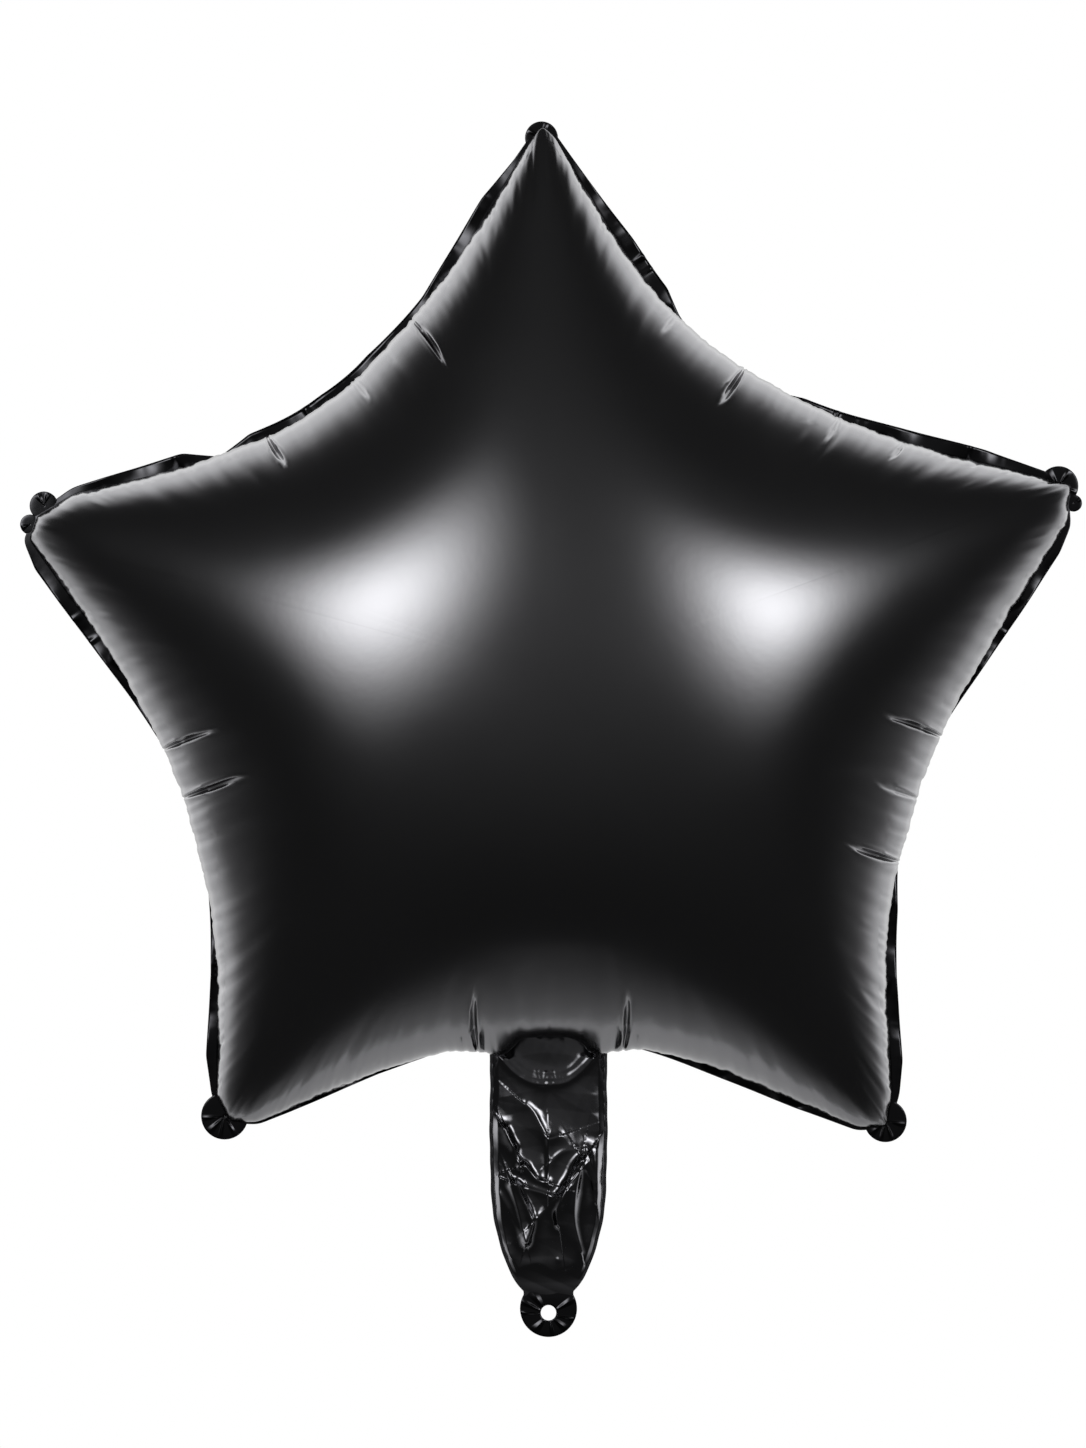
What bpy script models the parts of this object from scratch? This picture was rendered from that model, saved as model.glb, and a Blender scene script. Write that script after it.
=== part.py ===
"""Black star foil balloon, blown up, hanging upright from its filling tail.

Two star-shaped films sealed together round the edge: a puffed star with creased valleys, a flat sealed
flange with a round tab at each tip, and a crumpled filling tail with a punched tie hole in its end tab.
Metres, Z up. The origin is the centre of the tie hole, the tail runs up +Z and the front faces -Y.
"""

import math

import bmesh
import bpy
import numpy as np

for item in list(bpy.data.objects):
    bpy.data.objects.remove(item, do_unlink=True)

# Star, seen from the front: arms and valleys are counted clockwise from the top arm
ARM_COUNT = 5
ARM_REACH = 0.2205  # centre of the star to the tip of an arm
ARM_SHARE = (0.992, 1.036, 1.040, 1.0145, 1.012)  # each arm's own part of that reach
ARM_LEAN_DEG = (-0.5, -1.2, -0.9, -0.2, -0.8)  # how far each arm leans from its even place
VALLEY_REACH = 0.125  # centre of the star to where the straight sides of two arms would meet
VALLEY_SHARE = (0.977, 1.116, 0.955, 1.049, 0.913)
VALLEY_LEAN_DEG = (-9.3, 8.7, -0.7, -6.1, -3.0)
VALLEY_BLUNTNESS = (3.5, 5.5, 3.5, 4.1, 3.0)  # a lower number rounds the corner more
TIP_CUTS = (  # the puffed tips end bluntly: arm, degrees the cut leans from square, share of the arm's reach
    (0, -39.3, 0.7877),
    (0, 41.6, 0.7593),
    (1, 25.7, 0.8738),
    (2, -43.8, 0.7122),
    (2, 34.6, 0.8061),
    (3, 26.7, 0.8745),
    (3, -34.9, 0.8037),
    (4, 43.0, 0.7139),
    (4, 0.7, 0.9660),
)
TIP_CUT_HALF_DEG = 12  # how far to each side of the arm's axis its cuts reach
TIP_ROUNDING = 0.0016
NECK_Z = 0.1159  # where the star's seam crosses the tail, above the tie hole
THICKNESS = 0.158  # front to back through the centre

# Seam: the film bulges out over it in the valleys
SEAM_INSET_TIP = TIP_ROUNDING / 2
SEAM_INSET_VALLEY = 0.0080
BULGE_HEIGHT = 0.055  # how far in front of the seam the bulge ends
LIP_BULGE = 0.0042  # the two round lips that hang beside the neck
LIP_SPACING = 0.0200  # from the middle of the neck to the middle of each lip
LIP_WIDTH = 0.0105
NECK_HALF_WIDTH = 0.0140  # half of the drawn-in strip between the lips
NECK_DRAW = 0.55  # share of the bulge that is missing there

# Sealed edge
SEAL_THICKNESS = 0.0005
FLANGE_WIDTHS = (  # cut by hand, so uneven: degrees clockwise from the top, width outside the seam
    (0.0, 0.0006),
    (4.2, 0.0028),
    (10.0, 0.0060),
    (16.4, 0.0072),
    (20.0, 0.0046),
    (33.0, 0.0042),
    (42.4, 0.0080),
    (63.3, 0.0055),
    (67.0, 0.0032),
    (71.8, 0.0006),
    (75.5, 0.0039),
    (98.0, 0.0042),
    (123.7, 0.0064),
    (131.0, 0.0048),
    (138.0, 0.0050),
    (143.0, 0.0008),
    (149.6, 0.0026),
    (180.0, 0.0050),
    (203.0, 0.0010),
    (211.0, 0.0012),
    (216.8, 0.0006),
    (221.5, 0.0046),
    (228.6, 0.0036),
    (250.0, 0.0056),
    (272.0, 0.0051),
    (283.0, 0.0053),
    (287.0, 0.0006),
    (292.0, 0.0030),
    (300.8, 0.0065),
    (306.0, 0.0012),
    (321.0, 0.0052),
    (342.0, 0.0054),
    (353.0, 0.0051),
    (356.5, 0.0020),
)
FLANGE_FLUTTER = 0.0010
FLUTTER_START = 0.0360  # from the tip, along the seam, to where the flutter has its full height
FLUTTER_WAVES = 41
TAB_THICKNESS = 0.0008
LOBE_THICKNESS = 0.0006
TABS = (  # arm, radius, then the centre to the right of and above the point of the tip, thickness
    (0, 0.0066, -0.0009, -0.0022, TAB_THICKNESS),
    (1, 0.0079, -0.0117, 0.0022, TAB_THICKNESS),
    (1, 0.0034, -0.0057, -0.0047, LOBE_THICKNESS),
    (2, 0.0085, -0.0029, 0.0067, TAB_THICKNESS),
    (3, 0.0094, 0.0013, 0.0067, TAB_THICKNESS),
    (4, 0.0057, 0.0113, 0.0034, TAB_THICKNESS),
    (4, 0.0040, 0.0058, -0.0041, LOBE_THICKNESS),
)

# Creases square to the seam: where the foot is, clockwise from the top, then length and depth
CREASES = (
    (19.8, 0.012, 0.0010),
    (32.3, 0.016, 0.0030),
    (47.8, 0.013, 0.0012),
    (55.9, 0.012, 0.0012),
    (98.6, 0.023, 0.0032),
    (108.0, 0.016, 0.0012),
    (117.4, 0.020, 0.0032),
    (168.6, 0.021, 0.0032),
    (190.8, 0.021, 0.0032),
    (251.9, 0.023, 0.0032),
    (259.4, 0.021, 0.0032),
    (311.2, 0.015, 0.0030),
    (326.7, 0.011, 0.0010),
    (338.8, 0.024, 0.0032),
)
CREASE_HALF_WIDTH = 0.0034
CREASE_START = 0.0015  # how far inside the seam a crease comes to its full depth

# Filling tail
TAIL_HALF_WIDTH = 0.0235
TAIL_OVERLAP = 0.0100  # how far the tail goes up inside the star
TAIL_TAPER_Z = 0.0680  # where the sides start to curve in
TAIL_TAPER_LENGTH = 0.0640
NECK_STRIP_HALF_WIDTH = 0.0099
TAIL_BOTTOM_Z = 0.0010
TAIL_FLAT_BELOW_Z = 0.0120
TAIL_SWELL_LENGTH = 0.0300  # from there up to where the tail is as full as it gets
TAIL_SEAL_BAND = 0.0050
TAIL_PUFF = 0.0028  # half of the tail's thickness where it is fullest
FOLD_HALF_WIDTH = 0.0055
FOLDS = (  # from x, z to x, z, and how far the ridge stands out
    (-0.018, 0.101, -0.007, 0.092, 0.0026),
    (-0.007, 0.092, 0.007, 0.092, 0.0030),
    (0.007, 0.092, 0.018, 0.101, 0.0026),
    (-0.018, 0.075, -0.012, 0.058, 0.0024),
    (-0.009, 0.083, 0.000, 0.069, 0.0016),
    (0.000, 0.069, 0.000, 0.054, 0.0018),
    (-0.010, 0.059, -0.001, 0.052, 0.0022),
    (-0.013, 0.051, 0.004, 0.047, 0.0020),
    (0.013, 0.061, 0.004, 0.038, 0.0034),
    (0.013, 0.061, 0.011, 0.026, 0.0022),
    (0.014, 0.061, 0.019, 0.045, 0.0018),
    (-0.012, 0.050, -0.008, 0.031, 0.0028),
    (-0.020, 0.048, -0.010, 0.030, 0.0016),
    (-0.005, 0.038, 0.003, 0.046, 0.0016),
)
END_TAB_RADIUS = 0.0114
END_TAB_RISE = 0.0017  # centre of the end tab above the centre of the hole
TIE_HOLE_RADIUS = 0.0031

# How finely the skin is drawn
OUTLINE_STEPS = 2160
SKIN_SPACING = 0.0125
SKIN_SPACING_MIN = 0.0006
SKIN_RINGS = 11
FINE_RINGS = 5
SQUARE_RUN = 0.042  # how long the lines of points run square to the seam before they turn to the centre
SQUARE_SHARE = 0.28  # and no more than this part of the distance to the nearest tip
TAIL_COLUMNS = 14
TAIL_ROWS = 26

TURN = 2 * math.pi


def chord(angle, from_angle, from_reach, to_angle, to_reach):
    """Distance from the centre to the straight line between two polar points, in the direction of angle."""
    bottom = from_reach * np.sin(angle - from_angle) + to_reach * np.sin(to_angle - angle)
    return from_reach * to_reach * np.sin(to_angle - from_angle) / bottom


def rim_outline():
    """Closed outline of the puffed star about its centre: straight-sided arms with blunt valleys between."""
    step = TURN / ARM_COUNT
    tips = [step * i + math.radians(ARM_LEAN_DEG[i]) for i in range(ARM_COUNT)]
    reaches = [ARM_REACH * share for share in ARM_SHARE]
    angles = tips[0] + np.arange(OUTLINE_STEPS) * TURN / OUTLINE_STEPS
    radius = np.empty(OUTLINE_STEPS)
    for i in range(ARM_COUNT):
        following = (i + 1) % ARM_COUNT
        end = tips[following] + TURN * (following == 0)
        corner = step * (i + 0.5) + math.radians(VALLEY_LEAN_DEG[i])
        depth = VALLEY_REACH * VALLEY_SHARE[i]
        side = (angles >= tips[i]) & (angles < end)
        falling = chord(angles[side], tips[i], reaches[i], corner, depth)
        rising = chord(angles[side], corner, depth, end, reaches[following])
        blunt = VALLEY_BLUNTNESS[i]
        radius[side] = (falling**blunt + rising**blunt) ** (1 / blunt)
    for arm, lean, share in TIP_CUTS:
        square = np.cos(angles - tips[arm] - math.radians(lean))
        near = np.cos(angles - tips[arm]) > math.cos(math.radians(TIP_CUT_HALF_DEG))
        radius[near] = np.minimum(radius[near], reaches[arm] * share / square[near])
    points = np.stack([np.sin(angles), np.cos(angles)], axis=1) * radius[:, None]
    points = evenly(points)
    spacing = arc_positions(points)[1]
    reach = int(3 * TIP_ROUNDING / spacing) + 1
    offsets = np.arange(-reach, reach + 1)
    weights = np.exp(-0.5 * (offsets * spacing / TIP_ROUNDING) ** 2)
    weights /= weights.sum()
    return sum(np.roll(points, k, axis=0) * w for k, w in zip(offsets, weights))


def arc_positions(points):
    """Distance along a closed line at each of its points."""
    lengths = np.linalg.norm(np.roll(points, -1, axis=0) - points, axis=1)
    return np.concatenate([[0], np.cumsum(lengths)[:-1]])


def arc_total(points):
    return np.linalg.norm(np.roll(points, -1, axis=0) - points, axis=1).sum()


def evenly(points):
    """The same closed line with its points at even distances."""
    wanted = np.arange(len(points)) * arc_total(points) / len(points)
    return along(points, arc_positions(points), wanted, arc_total(points))


def along(values, arc, wanted, total):
    """Values that belong to positions arc of a closed line, read off at the wanted positions."""
    columns = values.reshape(len(values), -1).T
    read = [np.interp(wanted, arc, column, period=total) for column in columns]
    return np.stack(read, axis=-1).reshape((len(wanted),) + values.shape[1:])


def inward_normals(points):
    tangent = np.roll(points, -1, axis=0) - np.roll(points, 1, axis=0)
    tangent /= np.linalg.norm(tangent, axis=1)[:, None]
    return np.stack([tangent[:, 1], -tangent[:, 0]], axis=1)


class Seam:
    """The sealed line round the star with everything that changes along it, at evenly placed points."""

    def __init__(self):
        rim = rim_outline()
        arc = arc_positions(rim)
        self.total = arc_total(rim)
        self.angle = np.unwrap(np.arctan2(rim[:, 0], rim[:, 1]))
        radius = np.linalg.norm(rim, axis=1)
        step = TURN / ARM_COUNT
        knots = []
        for i in range(ARM_COUNT):
            tip = step * i + math.radians(ARM_LEAN_DEG[i])
            middle = step * (i + 0.5)
            near_middle = np.abs((self.angle - middle + math.pi) % TURN - math.pi) < step / 3
            knots.append(arc[np.argmin(np.abs((self.angle - tip + math.pi) % TURN - math.pi))])
            knots.append(arc[np.argmin(np.where(near_middle, radius, ARM_REACH))])
        knots = np.array(knots)
        self.tip_arcs = knots[0::2]
        order = np.argsort(knots)
        valley_mark = np.array([0.0, 1.0] * ARM_COUNT)
        self.depth = np.interp(arc, knots[order], valley_mark[order], period=self.total)
        inward = inward_normals(rim)
        inset = SEAM_INSET_TIP + (SEAM_INSET_VALLEY - SEAM_INSET_TIP) * self.depth**2
        self.points = rim + inward * inset[:, None]
        self.inward = inward
        self.arc = arc
        self.bulge = inset * 1.25 + 0.0006
        gap_to_tip = [np.abs((arc - tip + self.total / 2) % self.total - self.total / 2) for tip in self.tip_arcs]
        self.from_tip = np.min(gap_to_tip, axis=0)
        measured = [self.arc_at(degrees) for degrees, width in FLANGE_WIDTHS]
        self.flange = np.interp(arc, measured, [width for degrees, width in FLANGE_WIDTHS], period=self.total)
        opening = np.clip(self.from_tip / FLUTTER_START, 0, 1) ** 2
        self.flutter = FLANGE_FLUTTER * np.sin(TURN * FLUTTER_WAVES * arc / self.total) * opening
        self.neck_arc = self.arc_at(180.0)
        self.centre_z = NECK_Z + float(np.linalg.norm(self.read(self.points, [self.neck_arc])))
        from_neck = np.abs(arc - self.neck_arc)
        lips = np.exp(-(((from_neck - LIP_SPACING) / LIP_WIDTH) ** 2))
        drawn_in = np.exp(-((from_neck / NECK_HALF_WIDTH) ** 6))
        self.bulge = (self.bulge + LIP_BULGE * lips) * (1 - NECK_DRAW * drawn_in)

    def arc_at(self, degrees):
        """Position along the seam of the point at this many degrees clockwise from the top."""
        start = self.angle[0]
        wanted = (math.radians(degrees) - start) % TURN
        return float(np.interp(wanted, self.angle - start, self.arc))

    def read(self, values, wanted):
        return along(values, self.arc, wanted, self.total)


def skin_positions(seam):
    """Positions along the seam where the skin has its points: even, and closer at creases, lips and tips."""
    across = CREASE_HALF_WIDTH * np.array([-1.0, -0.5, 0.0, 0.5, 1.0])
    special = [seam.arc_at(crease[0]) + across for crease in CREASES]
    beside_neck = NECK_HALF_WIDTH + LIP_WIDTH * np.array([-0.4, -0.1, 0.2, 0.5, 0.9])
    special.append(seam.neck_arc + np.concatenate([-beside_neck[::-1], [0], beside_neck]))
    special += [tip + TIP_ROUNDING * np.array([-3.0, -1.5, 0.0, 1.5, 3.0]) for tip in seam.tip_arcs]
    special = np.concatenate(special) % seam.total
    even = np.arange(round(seam.total / SKIN_SPACING)) * SKIN_SPACING
    far = np.abs((even[:, None] - special[None] + seam.total / 2) % seam.total - seam.total / 2).min(axis=1)
    places = np.unique(np.concatenate([special, even[far > SKIN_SPACING / 2]]))
    keep = np.concatenate([[True], np.diff(places) > SKIN_SPACING_MIN])
    places = places[keep]
    return places[: len(places) // 2 * 2]


def membrane(seam):
    """Height squared of a film blown up between sealed edges: a membrane under even pressure, pinned there."""
    edge = seam.points[::4]
    sources = seam.points[::24] * 1.22  # on a larger star round the seam, so that the height stays smooth inside

    def basis(points):
        return np.log(np.linalg.norm(points[..., None, :] - sources, axis=-1))

    def pressure(points):
        return (points**2).sum(axis=-1) / 4

    weights = np.linalg.lstsq(basis(edge), pressure(edge), rcond=1e-10)[0]

    def field(points):
        return basis(points) @ weights - pressure(points)

    scale = (THICKNESS / 2) ** 2 / float(field(np.zeros((1, 2)))[0])
    return lambda points: scale * field(points)


def skin_rings(seam, places):
    """Points of the front skin as rings from the seam to the centre, in plan and as height over the seam."""
    foot = seam.read(seam.points, places)
    inward = seam.read(seam.inward, places)
    inward /= np.linalg.norm(inward, axis=1)[:, None]
    start = foot + inward * np.minimum(SQUARE_RUN, SQUARE_SHARE * seam.read(seam.from_tip, places))[:, None]
    steps = (np.arange(SKIN_RINGS) / SKIN_RINGS) ** 2
    t = steps[:, None, None]
    plan = (1 - t) ** 2 * foot + 2 * t * (1 - t) * start
    square = membrane(seam)
    level = square(plan)
    level -= level[0] * (1 - steps[:, None]) ** 8
    height = np.sqrt(np.maximum(level, 0))
    part = np.minimum(height / BULGE_HEIGHT, 1)
    out = seam.read(seam.bulge, places) * 6.75 * part * (1 - part) ** 2
    inside = np.linalg.norm(plan - foot, axis=2)
    swollen = plan - inward * out[..., None]
    shape = np.stack([swollen[..., 0], height, swollen[..., 1]], axis=2)
    round_way = np.roll(shape, -1, axis=1) - np.roll(shape, 1, axis=1)
    in_way = np.gradient(shape, axis=0)
    normal = np.cross(round_way, in_way)
    normal /= np.linalg.norm(normal, axis=2)[..., None]
    sink = np.zeros(height.shape)
    for degrees, length, depth in CREASES:
        gap = places - seam.arc_at(degrees)
        gap = np.abs((gap + seam.total / 2) % seam.total - seam.total / 2)
        groove = np.maximum(1 - gap / CREASE_HALF_WIDTH, 0)
        fade = np.clip(1 - inside / length, 0, 1)
        sink += depth * groove * (1 - np.exp(-((inside / CREASE_START) ** 2))) * fade * (2 - fade)
    shape -= normal * sink[..., None]
    centre = math.sqrt(float(square(np.zeros((1, 2)))[0]))
    return shape, centre


def stitch(bm, outer, inner, flip):
    """Faces between two closed rings, the inner of which has as many points or half as many."""
    count = len(outer)
    faces = []
    if len(inner) == count:
        for i in range(count):
            k = (i + 1) % count
            faces.append((outer[i], outer[k], inner[i]))
            faces.append((outer[k], inner[k], inner[i]))
    else:
        for i in range(0, count, 2):
            j = i // 2
            k = (j + 1) % len(inner)
            faces.append((outer[i], outer[i + 1], inner[j]))
            faces.append((outer[i + 1], inner[k], inner[j]))
            faces.append((outer[i + 1], outer[(i + 2) % count], inner[k]))
    for face in faces:
        bm.faces.new(face[::-1] if flip else face)


def star_mesh(seam):
    """Both skins of the star and the sealed flange round them, as one closed mesh."""
    places = skin_positions(seam)
    shape, centre = skin_rings(seam, places)
    foot = seam.read(seam.points, places)
    inward = seam.read(seam.inward, places)
    edge = foot - inward * seam.read(seam.flange, places)[:, None]
    flutter = seam.read(seam.flutter, places)
    centre_z = seam.centre_z
    bm = bmesh.new()
    edges = []
    for side in (-1, 1):
        half_seal = side * SEAL_THICKNESS / 2
        rim = [bm.verts.new((x, half_seal + f, z + centre_z)) for (x, z), f in zip(edge, flutter)]
        edges.append(rim)
        outer = rim
        for j, ring in enumerate(shape):
            points = ring if j < FINE_RINGS else ring[::2]
            inner = [bm.verts.new((x, half_seal + side * y, z + centre_z)) for x, y, z in points]
            stitch(bm, outer, inner, flip=side > 0)
            outer = inner
        top = bm.verts.new((0, half_seal + side * centre, centre_z))
        for i in range(len(outer)):
            face = (outer[i], outer[(i + 1) % len(outer)], top)
            bm.faces.new(face[::-1] if side > 0 else face)
    stitch(bm, edges[1], edges[0], flip=False)
    bmesh.ops.recalc_face_normals(bm, faces=bm.faces)
    return bm


def tail_half_width(z):
    part = np.clip((TAIL_TAPER_Z - z) / TAIL_TAPER_LENGTH, 0, 1)
    return np.maximum(TAIL_HALF_WIDTH * np.sqrt(1 - part**2.6), NECK_STRIP_HALF_WIDTH)


def fold_height(x, z, folds):
    """How far the ridges of the crumpled film stand out at each point."""
    out = np.zeros(x.shape)
    for x0, z0, x1, z1, height in folds:
        run = np.array([x1 - x0, z1 - z0])
        part = np.clip(((x - x0) * run[0] + (z - z0) * run[1]) / (run @ run), 0, 1)
        gap = np.hypot(x - x0 - part * run[0], z - z0 - part * run[1])
        out = np.maximum(out, height * np.clip(1 - gap / FOLD_HALF_WIDTH, 0, 1))
    return out


def tail_mesh():
    """The flat, crumpled filling tail as one closed mesh, with sealed bands down both sides."""
    rows = np.linspace(NECK_Z + TAIL_OVERLAP, TAIL_BOTTOM_Z, TAIL_ROWS)
    half = tail_half_width(rows)
    columns = np.linspace(-1, 1, TAIL_COLUMNS - 1)[1:-1]
    x = np.empty((TAIL_ROWS, TAIL_COLUMNS - 1))
    x[:, 0] = -half
    x[:, -1] = half
    x[:, 1:-1] = columns * ((half - TAIL_SEAL_BAND) / np.abs(columns).max())[:, None]
    z = np.repeat(rows[:, None], x.shape[1], axis=1)
    inside = np.clip(1 - (np.abs(x) / np.maximum(half - TAIL_SEAL_BAND, 0.001)[:, None]) ** 2, 0, 1)
    low = np.clip((z - TAIL_FLAT_BELOW_Z) / TAIL_SWELL_LENGTH, 0, 1)
    puff = TAIL_PUFF * np.sqrt(inside) * low
    mirrored = [(-x0, z0, -x1, z1, height) for x0, z0, x1, z1, height in FOLDS]
    bm = bmesh.new()
    sides = []
    for side, folds in ((-1, FOLDS), (1, mirrored)):
        y = SEAL_THICKNESS / 2 + puff + fold_height(x, z, folds) * np.minimum(inside * 3, 1) * low
        sides.append([[bm.verts.new(p) for p in zip(*row)] for row in zip(x, side * y, z)])
    front, back = sides
    for grid, flip in ((front, False), (back, True)):
        for upper, lower in zip(grid, grid[1:]):
            for i in range(len(upper) - 1):
                for face in ((upper[i], lower[i], upper[i + 1]), (lower[i], lower[i + 1], upper[i + 1])):
                    bm.faces.new(face[::-1] if flip else face)
    loop = [(r, 0) for r in range(TAIL_ROWS)]
    loop += [(TAIL_ROWS - 1, c) for c in range(1, x.shape[1])]
    loop += [(r, x.shape[1] - 1) for r in range(TAIL_ROWS - 2, -1, -1)]
    loop += [(0, c) for c in range(x.shape[1] - 2, 0, -1)]
    for (r, c), (r2, c2) in zip(loop, loop[1:] + loop[:1]):
        bm.faces.new((front[r][c], back[r][c], back[r2][c2], front[r2][c2]))
    bmesh.ops.recalc_face_normals(bm, faces=bm.faces)
    return bm


def add_object(name, bm, collection, material=None):
    mesh = bpy.data.meshes.new(name)
    bm.to_mesh(mesh)
    bm.free()
    made = bpy.data.objects.new(name, mesh)
    collection.objects.link(made)
    if material:
        mesh.materials.append(material)
    return made


def add_disc(name, radius, thickness, centre_x, centre_z, sides, collection):
    """A flat disc that faces front and back."""
    bpy.ops.mesh.primitive_cylinder_add(
        vertices=sides,
        radius=radius,
        depth=thickness,
        location=(centre_x, 0, centre_z),
        rotation=(math.pi / 2, 0, 0),
    )
    disc = bpy.context.object
    disc.name = name
    for old in list(disc.users_collection):
        old.objects.unlink(disc)
    collection.objects.link(disc)
    return disc


def black_film():
    material = bpy.data.materials.new("black_metallised_film")
    material.use_nodes = True
    shader = material.node_tree.nodes["Principled BSDF"]
    shader.inputs["Base Color"].default_value = (0.010, 0.010, 0.011, 1)
    shader.inputs["Roughness"].default_value = 0.3
    shader.inputs["Metallic"].default_value = 0.0
    material.diffuse_color = (0.010, 0.010, 0.011, 1)
    return material


def build():
    scene = bpy.context.scene.collection
    parts = bpy.data.collections.new("star_foil_balloon")
    helpers = bpy.data.collections.new("helpers")
    joined = bpy.data.collections.new("joined_by_union")
    scene.children.link(parts)
    scene.children.link(helpers)
    helpers.children.link(joined)
    seam = Seam()
    balloon = add_object("foil_balloon", star_mesh(seam), parts, black_film())
    tail = add_object("tail", tail_mesh(), joined)
    step = TURN / ARM_COUNT
    for number, (arm, radius, right, up, thickness) in enumerate(TABS):
        lean = step * arm + math.radians(ARM_LEAN_DEG[arm])
        reach = ARM_REACH * ARM_SHARE[arm]
        centre_x = reach * math.sin(lean) + right
        centre_z = seam.centre_z + reach * math.cos(lean) + up
        add_disc(f"tab_{number}", radius, thickness, centre_x, centre_z, 18, joined)
    end_tab = add_disc("end_tab", END_TAB_RADIUS, TAB_THICKNESS, 0, END_TAB_RISE, 40, helpers)
    hole = add_disc("tie_hole_cutter", TIE_HOLE_RADIUS, TAIL_HALF_WIDTH, 0, 0, 32, helpers)
    end = tail.modifiers.new("end tab", "BOOLEAN")
    end.operation = "UNION"
    end.object = end_tab
    cut = tail.modifiers.new("tie hole", "BOOLEAN")
    cut.operation = "DIFFERENCE"
    cut.object = hole
    union = balloon.modifiers.new("join tail and tabs", "BOOLEAN")
    union.operation = "UNION"
    union.operand_type = "COLLECTION"
    union.collection = joined
    for helper in list(joined.objects) + [end_tab, hole]:
        helper.hide_render = True
        helper.display_type = "WIRE"
    balloon.data.shade_smooth()
    balloon.data.set_sharp_from_angle(angle=math.radians(40))


build()
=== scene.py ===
import math

import bpy
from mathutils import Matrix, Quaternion, Vector
import numpy as np


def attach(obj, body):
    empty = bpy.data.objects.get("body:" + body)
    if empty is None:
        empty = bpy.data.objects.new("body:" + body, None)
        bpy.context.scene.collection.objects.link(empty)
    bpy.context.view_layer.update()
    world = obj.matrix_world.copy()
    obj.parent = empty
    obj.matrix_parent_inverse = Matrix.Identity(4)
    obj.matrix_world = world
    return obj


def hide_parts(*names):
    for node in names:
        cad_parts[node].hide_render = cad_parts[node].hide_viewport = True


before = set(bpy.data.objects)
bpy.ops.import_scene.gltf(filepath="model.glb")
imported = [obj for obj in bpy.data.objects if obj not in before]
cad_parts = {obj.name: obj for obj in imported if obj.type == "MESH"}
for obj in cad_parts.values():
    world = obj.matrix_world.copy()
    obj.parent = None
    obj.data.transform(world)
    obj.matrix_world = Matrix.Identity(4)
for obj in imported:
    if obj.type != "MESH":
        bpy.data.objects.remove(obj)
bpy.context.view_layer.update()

# Black star foil balloon: a front and a back film sealed together at the edge, and a crumpled filling tail.
# Metres, in the part's own frame: the tie hole is the origin, the front faces -Y and the tail runs up +Z.
mm = 0.001
turn = 2 * math.pi

star = {
    "arms": 5,
    "armReach": 220.5 * mm,
    "armShare": (0.992, 1.036, 1.040, 1.0145, 1.012),  # of that reach, clockwise from the top arm
    "armLeanDeg": (-0.5, -1.2, -0.9, -0.2, -0.8),  # clockwise from where an even star has them
    "valleyReach": 125 * mm,
    "valleyShare": (0.977, 1.116, 0.955, 1.049, 0.913),
    "valleyLeanDeg": (-9.3, 8.7, -0.7, -6.1, -3.0),
    "valleyBluntness": (3.5, 5.5, 3.5, 4.1, 3.0),  # a higher number keeps a valley sharper
    "tipCuts": (  # the puffed tips end bluntly: arm, degrees the cut leans from square, share of the arm's reach
        (0, -39.3, 0.7877), (0, 41.6, 0.7593), (1, 25.7, 0.8738), (2, -43.8, 0.7122), (2, 34.6, 0.8061),
        (3, 26.7, 0.8745), (3, -34.9, 0.8037), (4, 43.0, 0.7139), (4, 0.7, 0.9660),
    ),
    "cutHalfDeg": 12,  # how far to each side of the arm's axis its cuts reach
    "tipRounding": 1.6 * mm,
    "neckZ": 115.9 * mm,  # where the seam crosses the tail
    "thickness": 158 * mm,
    "insetTip": 0.8 * mm,  # the seam lies this far inside the outline
    "insetValley": 8.0 * mm,
    "bulgePerInset": 1.25,  # the full skin stands out over its seam by this much of the inset
    "bulgeHeight": 55 * mm,  # how far in front of the seam the bulge ends
    "lipBulge": 4.2 * mm,  # two lips hang out beside the neck
    "lipSpacing": 20 * mm,
    "lipWidth": 10.5 * mm,
    "neckHalfWidth": 14 * mm,  # between them the skin is drawn in
    "neckDraw": 0.55,  # share of the bulge that is missing there
    "edgeShow": 0.3 * mm,  # less this, so that the sealed edge is seen beside it
    # and where the skin is pulled in more: degrees clockwise from the top, half width in degrees, mm
    "drawnEdges": ((20, 14, 1.0), (100, 10, 1.2), (123, 7, 0.8), (160, 9, 1.4), (200, 9, 1.4), (256, 9, 0.8),
                   (320, 12, 2.2)),
    "neckHeight": 0.36,  # share of the bulge's height that the lips and the drawn-in part take up
    "sealThickness": 0.5 * mm,
    "outlineSteps": 2160,
    "edgeEvery": 4,  # steps from one point to the next that holds the skin's height down
    "sourceEvery": 24,  # steps from one source of the height's field to the next
    "sourceReach": 1.22,  # how far outside the seam the sources lie
}

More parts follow.
